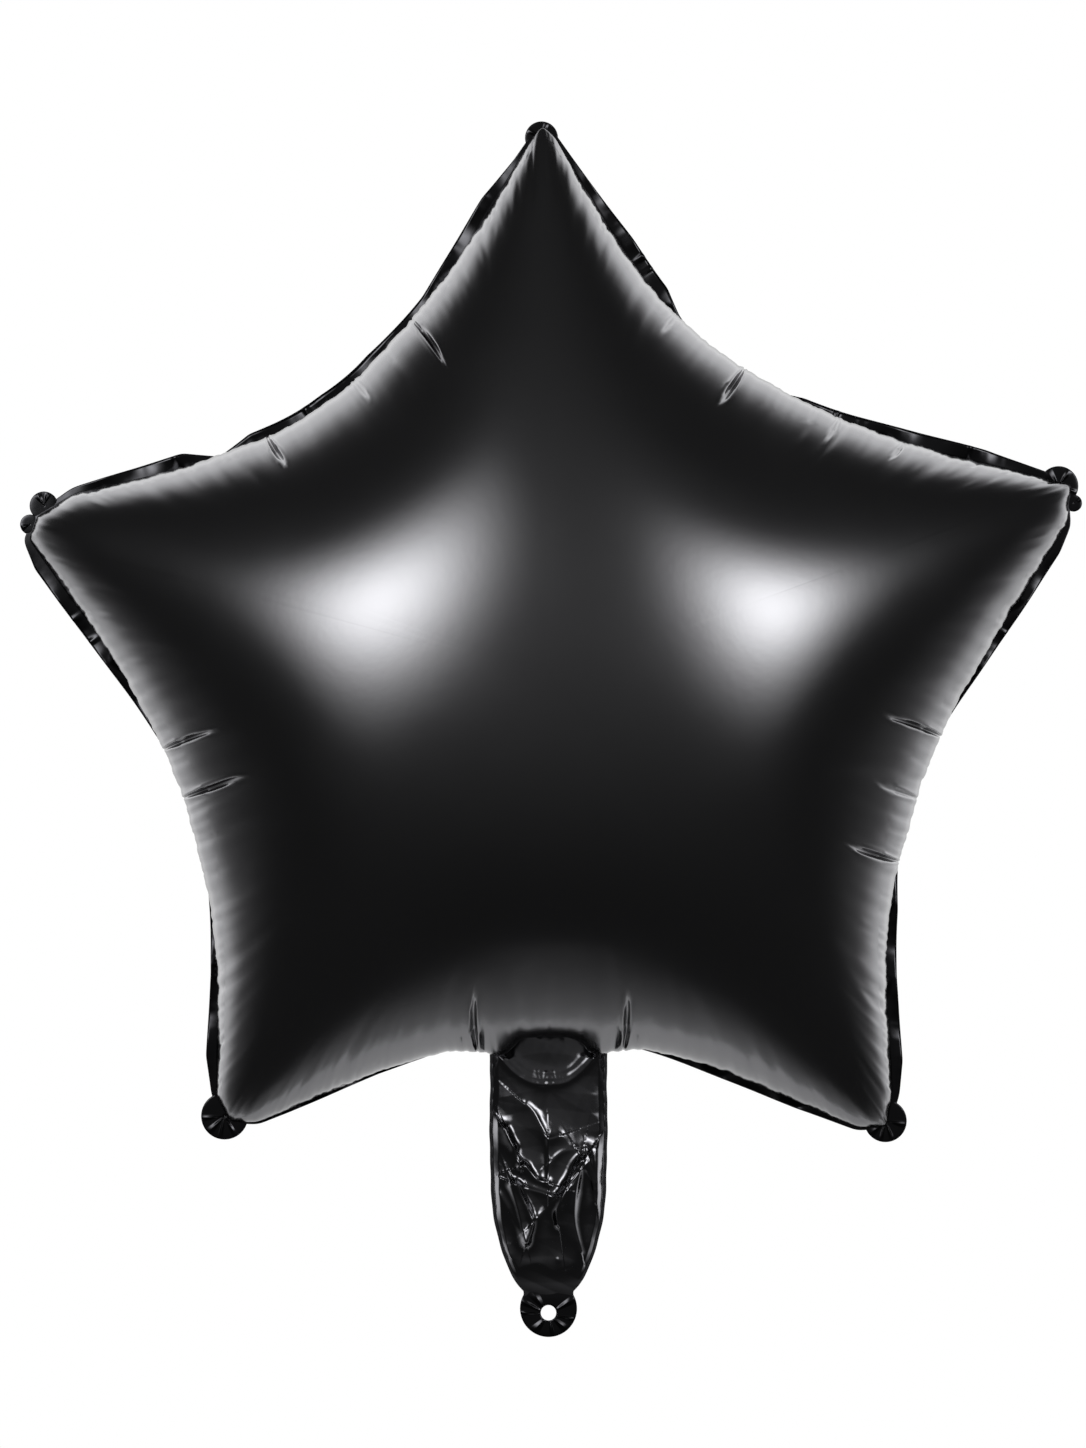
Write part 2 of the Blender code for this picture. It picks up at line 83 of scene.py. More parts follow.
film = {
    "around": 2880,  # points along the seam
    "rings": 72,
    "frontSeed": 3,
    "backSeed": 4,
    "halvedAt": (13, 36),  # rings from which only every second, then every fourth point is kept
    "firstRings": 0.4,  # a lower number draws the rings closer together at the seam
    "seamSteps": 24000,
    "creaseCrowd": 1.4,  # how many more points than elsewhere lie at a crease
    "tipCrowd": 1.5,
    "crowdWidth": 4 * mm,
    "squareRun": 42 * mm,  # the spokes leave the seam square and bend to the middle over this run
    "squareShare": 0.28,  # or over this share of the way to the nearest tip
    "sidewaysShare": 0.6,  # share of an arm's half width over which the skin's sideways bulge comes in
    "sidewaysLeast": 1 * mm,
    "reliefRun": 2.5 * mm,  # the relief comes in over this much film from the seam
    "creaseHalfWidth": 1.5 * mm,
    "creaseLip": 0.16,  # how high the lips beside a crease stand, as a share of its depth
    "lipAt": 1.2,  # their place and width, as shares of the half width
    "lipHalf": 0.4,
    "creaseLeast": 0.15,  # share of the half width that is left at both ends
    "creaseNick": 0.06,  # how much of the lens shape is past at the edge
    "creaseBelly": 1.35,  # a higher number puts its widest place further in
    # folds gathered into the seam, as spacing, depth and length in mm: fine pleats, then broader swells
    "gathers": ((3.6, 0.34, 20), (11, 0.40, 26)),
}

# How the gathered folds differ from one another, as shares of their spacing, depth and length
gatherRanges = {
    "halfWidth": (0.22, 0.42),
    "depth": (0.3, 1.5),
    "length": (0.6, 1.4),
    "slant": (-0.25, 0.25),  # sideways per length inward
    "step": (0.6, 1.4),
}

# Where the film is creased square to the seam: degrees clockwise from the top, length mm, depth mm
creases = (
    (19.8, 12, 1.0), (32.3, 16, 3.0), (47.8, 13, 1.2), (55.9, 12, 1.2), (98.6, 23, 3.2), (108.0, 16, 1.2),
    (117.4, 20, 3.2), (168.6, 21, 3.2), (190.8, 21, 3.2), (251.9, 23, 3.2), (259.4, 21, 3.2),
    (311.2, 15, 3.0), (326.7, 11, 1.0), (338.8, 24, 3.2),
)


def linearColour(hexText):
    parts = [int(hexText[i:i + 2], 16) / 255 for i in (1, 3, 5)]
    return tuple(p / 12.92 if p <= 0.04045 else ((p + 0.055) / 1.055) ** 2.4 for p in parts) + (1.0,)


def addNode(tree, kind, settings=None, **inputs):
    # an input is a value, or an output socket to link
    node = tree.nodes.new(kind)
    for name, value in (settings or {}).items():
        setattr(node, name, value)
    for name, value in inputs.items():
        key = int(name[2:]) if name.startswith("in") and name[2:].isdigit() else name.replace("_", " ")
        if isinstance(value, bpy.types.NodeSocket):
            tree.links.new(value, node.inputs[key])
        else:
            node.inputs[key].default_value = value
    return node


def ease(x):
    x = np.clip(x, 0, 1)
    return x * x * (3 - 2 * x)


# Seam of the star, worked out as the cut and sealed film is

def chordReach(angle, fromAngle, fromReach, toAngle, toReach):
    # how far out a straight line between two points lies at an angle
    bottom = fromReach * np.sin(angle - fromAngle) + toReach * np.sin(toAngle - angle)
    return fromReach * toReach * np.sin(toAngle - fromAngle) / bottom


def arcOf(points):
    lengths = np.linalg.norm(np.roll(points, -1, axis=0) - points, axis=1)
    return np.concatenate([[0], np.cumsum(lengths)[:-1]]), lengths.sum()


def readAlong(values, arc, wanted, total):
    columns = values.reshape(len(values), -1).T
    picked = [np.interp(wanted, arc, column, period=total) for column in columns]
    return np.stack(picked, axis=-1).reshape((len(wanted),) + values.shape[1:])


def rimOutline():
    steps = star["outlineSteps"]
    step = turn / star["arms"]
    tips = [step * i + math.radians(lean) for i, lean in enumerate(star["armLeanDeg"])]
    reaches = [star["armReach"] * share for share in star["armShare"]]
    angles = tips[0] + np.arange(steps) * turn / steps
    radius = np.empty(steps)
    for i in range(star["arms"]):
        after = (i + 1) % star["arms"]
        end = tips[after] + turn * (after == 0)
        corner = step * (i + 0.5) + math.radians(star["valleyLeanDeg"][i])
        depth = star["valleyReach"] * star["valleyShare"][i]
        side = (angles >= tips[i]) & (angles < end)
        falling = chordReach(angles[side], tips[i], reaches[i], corner, depth)
        rising = chordReach(angles[side], corner, depth, end, reaches[after])
        blunt = star["valleyBluntness"][i]
        radius[side] = (falling**blunt + rising**blunt) ** (1 / blunt)
    for arm, lean, share in star["tipCuts"]:
        square = np.cos(angles - tips[arm] - math.radians(lean))
        near = np.cos(angles - tips[arm]) > math.cos(math.radians(star["cutHalfDeg"]))
        radius[near] = np.minimum(radius[near], reaches[arm] * share / square[near])
    points = np.stack([np.sin(angles), np.cos(angles)], axis=1) * radius[:, None]
    arc, total = arcOf(points)
    points = readAlong(points, arc, np.arange(steps) * total / steps, total)
    spacing = total / steps
    reach = int(3 * star["tipRounding"] / spacing) + 1  # three widths hold nearly all of the rounding's bell
    offsets = np.arange(-reach, reach + 1)
    weights = np.exp(-0.5 * (offsets * spacing / star["tipRounding"]) ** 2)
    weights /= weights.sum()
    return sum(np.roll(points, k, axis=0) * w for k, w in zip(offsets, weights))


def makeSeam():
    rim = rimOutline()
    arc, total = arcOf(rim)
    angle = np.unwrap(np.arctan2(rim[:, 0], rim[:, 1]))
    radius = np.linalg.norm(rim, axis=1)
    step = turn / star["arms"]
    knots = []
    for i in range(star["arms"]):
        tip = step * i + math.radians(star["armLeanDeg"][i])
        nearMiddle = np.abs((angle - step * (i + 0.5) + math.pi) % turn - math.pi) < step / 3  # between two arms
        knots.append(arc[np.argmin(np.abs((angle - tip + math.pi) % turn - math.pi))])
        knots.append(arc[np.argmin(np.where(nearMiddle, radius, 1))])
    knots = np.array(knots)
    order = np.argsort(knots)
    mark = np.interp(arc, knots[order], np.array([0.0, 1.0] * star["arms"])[order], period=total)
    tangent = np.roll(rim, -1, axis=0) - np.roll(rim, 1, axis=0)
    tangent /= np.linalg.norm(tangent, axis=1)[:, None]
    inward = np.stack([tangent[:, 1], -tangent[:, 0]], axis=1)
    inset = star["insetTip"] + (star["insetValley"] - star["insetTip"]) * ease(mark) ** 2
    seam = {"arc": arc, "total": total, "angle": angle, "knots": knots, "inward": inward}
    seam["points"] = rim + inward * inset[:, None]
    gaps = [np.abs((arc - tip + total / 2) % total - total / 2) for tip in knots[0::2]]
    seam["fromTip"] = np.min(gaps, axis=0)
    seam["neckArc"] = arcAt(seam, 180.0)
    neck = read(seam, seam["points"], [seam["neckArc"]])
    seam["centreZ"] = star["neckZ"] + float(np.linalg.norm(neck))
    fromNeck = np.abs(arc - seam["neckArc"])
    lips = np.exp(-(((fromNeck - star["lipSpacing"]) / star["lipWidth"]) ** 2))
    drawnIn = np.exp(-((fromNeck / star["neckHalfWidth"]) ** 6))
    seam["bulge"] = inset * star["bulgePerInset"] - star["edgeShow"]
    for middle, halfWidth, depth in star["drawnEdges"]:
        turned = np.degrees(np.abs(np.angle(np.exp(1j * (angle - math.radians(middle))))))
        seam["bulge"] = seam["bulge"] - depth * mm * np.exp(-((turned / halfWidth) ** 4))
    seam["neckBulge"] = star["lipBulge"] * lips - star["neckDraw"] * drawnIn * seam["bulge"]
    return seam


def arcAt(seam, degrees):
    start = seam["angle"][0]
    return float(np.interp((math.radians(degrees) - start) % turn, seam["angle"] - start, seam["arc"]))


def read(seam, values, wanted):
    return readAlong(values, seam["arc"], wanted, seam["total"])


def wrapGap(seam, places, at):
    return (places - at + seam["total"] / 2) % seam["total"] - seam["total"] / 2


def closePlaces(seam, count):
    # evenly along the seam, but closer at the creases and round the tips
    fine = np.arange(film["seamSteps"]) * seam["total"] / film["seamSteps"]
    density = np.ones(len(fine))
    crowded = [(arcAt(seam, degrees), film["creaseCrowd"]) for degrees, length, depth in creases]
    crowded += [(tip, film["tipCrowd"]) for tip in seam["knots"][0::2]]
    for at, crowd in crowded:
        density += crowd * np.exp(-((wrapGap(seam, fine, at) / film["crowdWidth"]) ** 2))
    run = np.concatenate([[0], np.cumsum(density)])
    wanted = np.arange(count) * run[-1] / count
    return np.interp(wanted, run, np.concatenate([fine, [seam["total"]]]))


def puffedHeight(seam):
    # height squared of a film blown up between sealed edges: nothing at the seam, and evenly bent between
    edge = seam["points"][::star["edgeEvery"]]
    sources = seam["points"][::star["sourceEvery"]] * star["sourceReach"]

    def basis(points):
        return np.log(np.linalg.norm(points[..., None, :] - sources, axis=-1))

    weights = np.linalg.lstsq(basis(edge), (edge**2).sum(axis=-1) / 4, rcond=1e-10)[0]

    def field(points):
        return basis(points) @ weights - (points**2).sum(axis=-1) / 4

    scale = (star["thickness"] / 2) ** 2 / float(field(np.zeros((1, 2)))[0])
    return lambda points: scale * field(points)


def addPleats(seam, places, inside, sink, rng, spacing, depth, length):
    # short folds where the flat film is gathered into the seam: each has its own place, slant, width and depth
    at = 0.0
    while at < seam["total"]:
        halfWidth = spacing * rng.uniform(*gatherRanges["halfWidth"])
        ownDepth = depth * rng.uniform(*gatherRanges["depth"])
        ownLength = length * rng.uniform(*gatherRanges["length"])
        slant = rng.uniform(*gatherRanges["slant"])
        # all that it reaches, slant and fading sides included
        near = np.nonzero(np.abs(wrapGap(seam, places, at)) < 3 * halfWidth + 0.3 * ownLength)[0]
        gap = wrapGap(seam, places[near], at)[None] - slant * inside[:, near]
        fade = np.clip(1 - inside[:, near] / ownLength, 0, 1)
        sink[:, near] += ownDepth * np.exp(-((gap / halfWidth) ** 2)) * fade
        at += spacing * rng.uniform(*gatherRanges["step"])


def addCreases(seam, places, inside, sink):
    # each is a closed slit shaped like a lens, widest past its middle, that only just nicks the edge
    half = film["creaseHalfWidth"]
    for degrees, length, depth in creases:
        gap = np.abs(wrapGap(seam, places, arcAt(seam, degrees)))
        part = np.clip(inside / (length * mm), 0, 1)
        lens = np.sin(math.pi * (film["creaseNick"] + (1 - film["creaseNick"]) * part) ** film["creaseBelly"])
        narrowed = half * (film["creaseLeast"] + (1 - film["creaseLeast"]) * lens)
        groove = np.clip(1 - gap[None] / narrowed, 0, 1)
        away = (gap[None] - film["lipAt"] * narrowed) / (film["lipHalf"] * half)
        sink += depth * mm * (groove - film["creaseLip"] * np.exp(-(away**2))) * lens


def armwise(plan, inward, foot):
    # the bulge leans over sideways near the seam only, so that both sides of an arm meet smoothly on its middle
    leans = [turn / star["arms"] * i + math.radians(lean) for i, lean in enumerate(star["armLeanDeg"])]
    axes = np.stack([np.sin(leans), np.cos(leans)], axis=1)
    axis = axes[np.argmax(foot @ axes.T, axis=1)]
    alongArm = axis * (inward * axis).sum(axis=1)[:, None]
    offAxis = np.linalg.norm(plan - axis * (plan * axis).sum(axis=2)[..., None], axis=2)
    sideways = ease(offAxis / (film["sidewaysShare"] * np.maximum(offAxis[0], film["sidewaysLeast"])))
    return alongArm + (inward - alongArm) * sideways[..., None]


def skinShape(seam, places, rng):
    # rings of points from the seam to the middle: first as they lie in plan, then puffed up and bulged out over
    # the seam, and last with the folds sunk square to the skin
    foot = read(seam, seam["points"], places)
    inward = read(seam, seam["inward"], places)
    inward /= np.linalg.norm(inward, axis=1)[:, None]
    push = np.minimum(film["squareRun"], film["squareShare"] * read(seam, seam["fromTip"], places))
    start = foot + inward * push[:, None]
    u = np.arange(film["rings"]) / film["rings"]
    steps = (film["firstRings"] * u + (1 - film["firstRings"]) * u * u) ** 2
    t = steps[:, None, None]
    plan = (1 - t) ** 2 * foot + 2 * t * (1 - t) * start
    square = puffedHeight(seam)
    level = square(plan)
    level -= level[0] * (1 - steps[:, None]) ** 8  # takes out what the fit leaves at the seam
    height = np.sqrt(np.maximum(level, 0))
    part = np.minimum(height / star["bulgeHeight"], 1)
    lowDown = np.exp(-((part / star["neckHeight"]) ** 4))
    out = read(seam, seam["bulge"], places) + read(seam, seam["neckBulge"], places) * lowDown
    out = out * 6.75 * part * (1 - part) ** 2  # 6.75 brings this curve's top, a third of the way up, to one
    inside = np.linalg.norm(plan - foot, axis=2)
    swollen = plan - out[..., None] * armwise(plan, inward, foot)
    shape = np.stack([swollen[..., 0], height, swollen[..., 1]], axis=2)
    normal = np.cross(np.roll(shape, -1, axis=1) - np.roll(shape, 1, axis=1), np.gradient(shape, axis=0))
    normal /= np.maximum(np.linalg.norm(normal, axis=2), 1e-12)[..., None]
    sink = np.zeros(height.shape)
    for spacing, depth, length in film["gathers"]:
        addPleats(seam, places, inside, sink, rng, spacing * mm, depth * mm, length * mm)
    addCreases(seam, places, inside, sink)
    run = np.cumsum(np.linalg.norm(np.diff(shape, axis=0, prepend=shape[:1]), axis=2), axis=0)
    sink *= 1 - np.exp(-((run / film["reliefRun"]) ** 2))
    centre = math.sqrt(float(square(np.zeros((1, 2)))[0]))
    return shape - normal * sink[..., None], inside, centre


def stitchRings(outer, inner):
    # triangles between two closed rings of point numbers, the inner with as many points or half as many
    if len(inner) == len(outer):
        after, innerAfter = np.roll(outer, -1), np.roll(inner, -1)
        return np.concatenate([np.stack([outer, after, inner], 1), np.stack([after, innerAfter, inner], 1)])
    even, odd = outer[0::2], outer[1::2]
    evenAfter, innerAfter = np.roll(even, -1), np.roll(inner, -1)
    return np.concatenate([
        np.stack([even, odd, inner], 1),
        np.stack([odd, innerAfter, inner], 1),
        np.stack([odd, evenAfter, innerAfter], 1),
    ])


def makePiece(name, points, faces, material, uv=None):
    mesh = bpy.data.meshes.new(name)
    mesh.from_pydata(points.tolist(), [], faces.tolist())
    if uv is not None:
        layer = mesh.uv_layers.new(name="filmUV")
        corners = np.empty(len(mesh.loops), dtype=np.int32)
        mesh.loops.foreach_get("vertex_index", corners)
        layer.data.foreach_set("uv", uv[corners].astype(np.float32).ravel())
    mesh.materials.append(material)
    mesh.shade_smooth()
    piece = bpy.data.objects.new(name, mesh)
    bpy.context.scene.collection.objects.link(piece)
    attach(piece, "root")
    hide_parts("foil_balloon")
    print(f"{name}: {len(mesh.polygons)} faces")
    return piece


def makePanel(name, seam, side, seed, material):
    places = closePlaces(seam, film["around"])
    shape, inside, centre = skinShape(seam, places, np.random.default_rng(seed))
    halfSeal = star["sealThickness"] / 2
    points, uv, faces = [], [], []
    outer = None
    count = 0
    for j, ring in enumerate(shape):
        keep = 1 + (j >= film["halvedAt"][0]) + 2 * (j >= film["halvedAt"][1])
        ring, deep, along = ring[::keep], inside[j][::keep], places[::keep]
        points.append(np.stack([ring[:, 0], side * (halfSeal + ring[:, 1]), ring[:, 2] + seam["centreZ"]], 1))
        uv.append(np.stack([along, deep], 1))
        numbers = count + np.arange(len(ring))
        count += len(ring)
        if outer is not None:
            faces.append(stitchRings(outer, numbers))
        outer = numbers
    points.append(np.array([[0, side * (halfSeal + centre), seam["centreZ"]]]))
    uv.append(np.array([[0, inside.max()]]))
    faces.append(np.stack([outer, np.roll(outer, -1), np.full(len(outer), count)], 1))
    faces = np.concatenate(faces)
    if side > 0:
        faces = faces[:, ::-1]  # so that the back faces outward too
    return makePiece(name, np.concatenate(points), faces, material, np.concatenate(uv))


# Sealed edge

flange = {
    "seed": 31,
    "around": 2000,
    "across": 7,
    "widths": (  # cut by hand, so uneven: degrees clockwise from the top, mm outside the seam
        (0, 0.6), (4.2, 2.8), (10, 6.0), (16.4, 7.2), (20, 4.6), (33, 4.2), (42.4, 8.0), (63.3, 5.5),
        (67, 3.2), (71.8, 0.6), (75.5, 3.9), (98, 4.2), (123.7, 6.4), (131, 4.8), (138, 5.0), (143, 0.8),
        (149.6, 2.6), (180, 5.0), (203, 1.0), (211, 1.2), (216.8, 0.6), (221.5, 4.6), (228.6, 3.6), (250, 5.6),
        (272, 5.1), (283, 5.3), (287, 0.6), (292, 3.0), (300.8, 6.5), (304.5, 2.0), (309, 7.4), (321, 9.8),
        (331, 9.6), (336.5, 7.6), (342, 5.4), (353, 5.1), (356.5, 2.0),
    ),
    "tuckUnder": 0.06,  # share of its width by which it starts under the skin
    "smoothOver": 9,  # points
    "flutter": 1.0 * mm,  # it waves from front to back
    "flutterWaves": 41,
    "flutterStart": 36 * mm,  # from the tips
    "crimpSpacing": 5.0 * mm,
    "crimpDepth": 0.10 * mm,
    "edgeThickness": 0.30 * mm,
    # sharp little folds: degrees clockwise from the top, depth mm, half width mm
    "folds": ((11.9, 1.1, 1.6), (13.4, 0.9, 1.2), (47.5, 1.2, 1.0), (277.8, 1.0, 2.0), (275.2, 0.8, 1.5),
              (24.0, 0.8, 2.0), (300.0, 0.7, 2.0), (62.0, 0.7, 1.6), (318.0, 0.8, 1.8), (84.0, 0.6, 1.5)),
}

tipTab = {
    "holeRadius": 0.05 * mm,  # the point that the little folds run out from
    "thickness": 0.5 * mm,
    "streakHeight": 0.45 * mm,
    "around": 144,
    "rings": 16,
    # arm, radius, the centre to the right of and above the point of the tip, all but the arm in mm, then the
    # little folds as degrees clockwise from the top and half width in degrees
    "tabs": (
        (0, 6.6, -0.9, -2.2, ((20, 12), (300, 14))),
        (1, 7.9, -11.7, 2.2, ((35, 12), (110, 9), (320, 20))),
        (1, 3.4, -5.7, -4.7, ((60, 20),)),
        (2, 8.5, -2.9, 6.7, ((195, 8), (160, 9), (100, 12), (230, 14))),
        (3, 9.4, 1.3, 6.7, ((192, 8), (150, 10), (265, 9), (225, 12))),
        (4, 5.7, 11.3, 3.4, ((330, 20), (20, 14))),
        (4, 4.0, 5.8, -4.1, ((250, 25),)),
    ),
}


def makeFlange(seam, material):
    rng = np.random.default_rng(flange["seed"])
    places = np.arange(flange["around"]) * seam["total"] / flange["around"]
    foot = read(seam, seam["points"], places)
    inward = read(seam, seam["inward"], places)
    inward /= np.linalg.norm(inward, axis=1)[:, None]
    measured = [arcAt(seam, degrees) for degrees, width in flange["widths"]]
    width = np.interp(places, measured, [width * mm for degrees, width in flange["widths"]], period=seam["total"])
    blur = np.hanning(flange["smoothOver"])
    width = np.convolve(np.pad(width, len(blur) // 2, "wrap"), blur / blur.sum(), "valid")
    opening = np.clip(read(seam, seam["fromTip"], places) / flange["flutterStart"], 0, 1) ** 2
    wave = flange["flutter"] * np.sin(turn * flange["flutterWaves"] * places / seam["total"]) * opening
    crimp = np.zeros((1, len(places)))
    addPleats(seam, places, np.zeros(crimp.shape), crimp, rng, flange["crimpSpacing"], flange["crimpDepth"], 1.0)
    crimp = crimp[0]
    for degrees, foldDepth, foldHalf in flange["folds"]:
        gap = wrapGap(seam, places, arcAt(seam, degrees))
        crimp += foldDepth * mm * np.clip(1 - np.abs(gap) / (foldHalf * mm), 0, 1)
    v = np.linspace(-flange["tuckUnder"], 1, flange["across"])
    rows = []
    for side, order in ((-1, v), (1, v[::-1])):
        for part in order:
            lift = max(part, 0)
            half = star["sealThickness"] / 2 + (flange["edgeThickness"] - star["sealThickness"]) / 2 * lift
            y = side * half + wave * lift - crimp * lift * opening
            xz = foot - inward * (width * part)[:, None]
            rows.append(np.stack([xz[:, 0], y, xz[:, 1] + seam["centreZ"]], 1))
    count = len(places)
    numbers = np.arange(len(rows) * count).reshape(len(rows), count)
    faces = []
    for a, b in zip(numbers, np.roll(numbers, -1, axis=0)):
        faces.append(np.stack([a, b, np.roll(b, -1), np.roll(a, -1)], 1))
    uv = np.concatenate([np.stack([places, np.full(count, i * mm)], 1) for i in range(len(rows))])
    return makePiece("sealFlange", np.concatenate(rows), np.concatenate(faces), material, uv)


def discRows(disc, centre, radius, holeAt, streaks):
    # a sealed disc of film with sharp little folds running out from its middle, at degrees clockwise from the top
    angles = np.arange(disc["around"]) * turn / disc["around"]
    directions = np.stack([np.sin(angles), np.cos(angles)], 1)
    crimp = np.zeros(disc["around"])
    for degrees, halfWidthDeg in streaks:
        gap = (np.degrees(angles) - degrees + 180) % 360 - 180
        crimp = np.maximum(crimp, np.clip(1 - np.abs(gap) / halfWidthDeg, 0, 1))
    front, back = [], []
    for part in np.linspace(0, 1, disc["rings"]) ** 0.8:  # a little closer together toward the edge
        inner = np.array(holeAt) + directions * disc["holeRadius"]
        outer = np.array(centre) + directions * radius
        xz = inner + (outer - inner) * part
        ripple = disc["streakHeight"] * crimp * math.sin(math.pi * part) ** 0.7
        half = disc["thickness"] / 2 * (1 - 0.5 * part**6)  # thinned to half at the cut edge
        front.append(np.stack([xz[:, 0], -half - ripple, xz[:, 1]], 1))
        back.append(np.stack([xz[:, 0], half - ripple, xz[:, 1]], 1))
    return front, back


def discFaces(front, back, offset):
    # out over the front, round the cut edge, in over the back, and through the hole to the front again
    rows = front + back[::-1]
    around = len(front[0])
    numbers = offset + np.arange(len(rows) * around).reshape(len(rows), around)
    pairs = zip(numbers, np.roll(numbers, -1, axis=0))
    faces = [np.stack([a, b, np.roll(b, -1), np.roll(a, -1)], 1) for a, b in pairs]
    return np.concatenate(rows), np.concatenate(faces)


def makeTipTabs(seam, material):
    points, faces, uv = [], [], []
    count = 0
    for arm, radius, right, up, streaks in tipTab["tabs"]:
        lean = turn / star["arms"] * arm + math.radians(star["armLeanDeg"][arm])
        reach = star["armReach"] * star["armShare"][arm]
        x = reach * math.sin(lean) + right * mm
        z = seam["centreZ"] + reach * math.cos(lean) + up * mm
        front, back = discRows(tipTab, (x, z), radius * mm, (x, z), streaks)
        rows, quads = discFaces(front, back, count)
        points.append(rows)
        faces.append(quads)
        uv.append(np.stack([rows[:, 0] - x, rows[:, 2] - z], 1))
        count += len(rows)
    return makePiece("tipTabs", np.concatenate(points), np.concatenate(faces), material, np.concatenate(uv))


# Filling tail

tail = {
    "seed": 5,
    "halfWidth": 23.5 * mm,
    "taperZ": 68 * mm,
    "taperLength": 64 * mm,
    "taperPower": 2.6,  # 2 would be an ellipse
    "stripHalfWidth": 9.9 * mm,
    "topZ": 126 * mm,
    "bottomZ": 4.6 * mm,
    "flatBelowZ": 12 * mm,  # above this it swells, over the next length
    "swellLength": 30 * mm,
    "edgeWaves": ((0.15, 5.3, 0), (0.08, 1.9, 1)),  # the cut edge strays by: mm, over mm, start
    "sealBand": 1.2 * mm,
    "sealHalf": 0.25 * mm,  # half the film's thickness, and less beside the end tab, so that the tab covers it
    "sealHalfLow": 0.10 * mm,
    "sealLowZ": 6 * mm,  # below this, coming in over the next
    "sealLowOver": 4 * mm,
    "crimpDepth": 0.10 * mm,
    "crimpWaves": (1.5 * mm, 3.3 * mm),  # along the edge, and across it
    "puff": 2.2 * mm,
    "columns": 150,
    "rows": 325,
    "crest": 0.6 * mm,  # how wide a ridge is rounded
    "foldShare": 0.95,
    "foldsRise": 3,  # a higher number brings the folds nearer to the seal and to the foot
    "fallLeast": 1.3 * mm,
    "crumples": ((15, 1.43), (6, 0.11)),  # sizes of the flat facets and how deep they lie, in mm
    "crumpleWaves": 5,
    "warp": 1.5 * mm,  # the facets' edges stray by this, over the next two lengths
    "warpAlong": 9 * mm,
    "warpAcross": 7 * mm,
}

# Folds of the crumpled film, in mm: how far the ridge stands out, how far it falls away to its right and to its
# left (as the path runs), then the points it runs through
tailFolds = (
    (2.0, 4.0, 1.2, ((-18, 74), (-16, 70), (-14, 67))),
    (1.6, 2.6, 0.8, ((-17, 74), (-13.5, 65), (-11, 58))),
    (2.2, 4.0, 1.0, ((-11, 59), (-9, 59), (-5, 54), (-1, 52.5))),
    (1.5, 5.0, 1.4, ((-9, 83.5), (-6, 80.5), (-2, 73), (0, 70), (4, 71))),
    (1.4, 1.0, 5.0, ((0, 70), (0.3, 62), (0, 53))),
    (1.0, 3.0, 1.2, ((2, 62), (6, 65), (11, 66))),
    (3.2, 1.6, 7.0, ((13.5, 61.5), (11, 58), (8, 52), (5, 45), (3.5, 41), (4, 36))),
    (2.2, 5.0, 1.0, ((12.5, 58), (11, 50), (10.2, 42), (10.5, 35), (13, 25))),
    (1.8, 1.0, 4.0, ((13.5, 61.5), (16, 57), (18, 52), (19, 45))),
    (1.0, 0.8, 2.0, ((15, 67), (17, 60), (19.5, 53))),
    (1.0, 0.8, 1.6, ((19, 66), (19.5, 58), (19.5, 50))),
    (2.0, 6.0, 1.0, ((-13, 52), (-8, 50), (-3, 48.5), (3, 47), (7, 51))),
    (1.2, 4.0, 1.4, ((-5, 38), (-2, 41), (3, 46))),
    (2.6, 3.0, 1.0, ((-13, 52), (-10.5, 47), (-7.4, 40), (-6.5, 36), (-8.5, 29))),
    (1.6, 0.9, 3.0, ((-15, 51), (-12, 42), (-9, 29))),
    (1.3, 3.5, 3.5, ((-20, 48), (-15, 40), (-10, 30))),
    (1.0, 1.0, 2.6, ((-20, 30), (-18.5, 27), (-16, 23.5))),
    (1.0, 3.0, 3.0, ((-12, 18), (-4, 20), (2, 17), (9, 19))),
    (1.0, 1.0, 1.6, ((-20, 103), (-14, 96.5), (-7, 92.5), (0, 91.5), (7, 92.5), (13, 96.5), (18, 102))),
    (0.5, 0.8, 1.0, ((-17, 102.5), (-11, 97), (-6, 94.5), (0, 94), (6, 94.5), (11, 97), (16, 102))),
    (0.35, 0.7, 0.8, ((-14, 102.5), (-9, 98.5), (-5, 96.8), (0, 96.3), (5, 96.8), (9, 98.5), (13, 102.5))),
    (0.4, 0.8, 0.8, ((-4.8, 96.5), (-3.4, 92.2))),
    (0.5, 0.7, 0.9, ((-1.2, 96.0), (-1.7, 91.8))),
    (0.4, 0.8, 0.8, ((1.6, 96.5), (2.6, 92.4))),
    (0.3, 0.7, 0.7, ((4.9, 96.0), (5.4, 92))),
    (0.5, 1.0, 1.0, ((4.3, 21.5), (4.7, 21.5))),
)


def smoothPath(path, pieces=6):
    # a curve through all the points
    points = np.array([path[0]] + list(path) + [path[-1]], dtype=float)
    t = np.linspace(0, 1, pieces, endpoint=False)[:, None]
    curve = []
    for a, b, c, d in zip(points, points[1:], points[2:], points[3:]):
        curve.append(b + 0.5 * t * (c - a + t * (2 * a - 5 * b + 4 * c - d + t * (3 * (b - c) + d - a))))
    return np.concatenate(curve + [points[-1:]])


